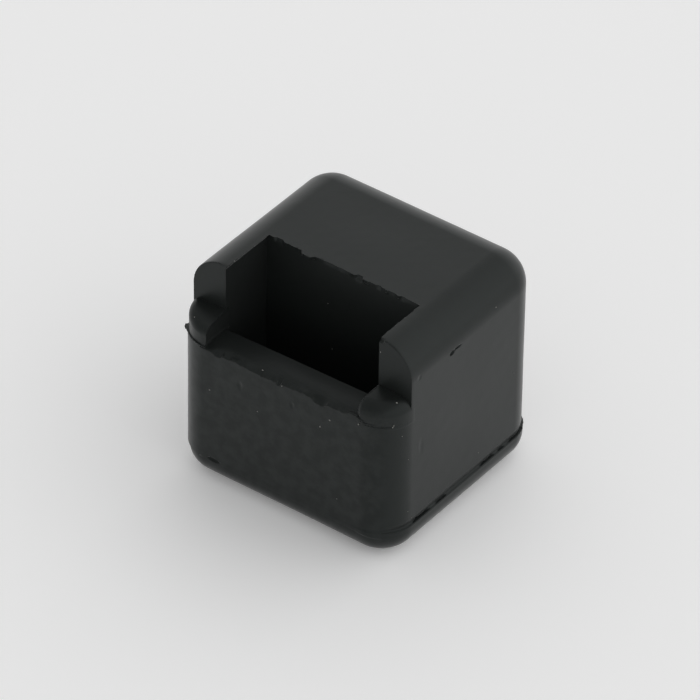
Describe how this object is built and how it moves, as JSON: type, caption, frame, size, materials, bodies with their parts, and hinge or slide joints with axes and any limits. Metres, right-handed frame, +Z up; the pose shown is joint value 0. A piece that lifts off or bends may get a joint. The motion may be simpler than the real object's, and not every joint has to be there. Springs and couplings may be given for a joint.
{
  "type": "vibration damper",
  "caption": "Moulded black rubber block with rounded rims, a blind slot pocket open at the top and a front wall stepped down between two corner ledges.",
  "frame": {"origin": "middle of the underside, on the surface the block stands on", "axes": "+X along the stepped front, from its left ledge to its right ledge seen from the front; -Y out of the stepped front; +Z up, out of the pocket's mouth"},
  "size_m": [0.0304, 0.0282, 0.0276],
  "materials": {
    "rubber": "satin moulded black rubber, lightly dusty"
  },
  "bodies": {
    "root": {"damper_block": "rubber"}
  },
  "joints": []
}
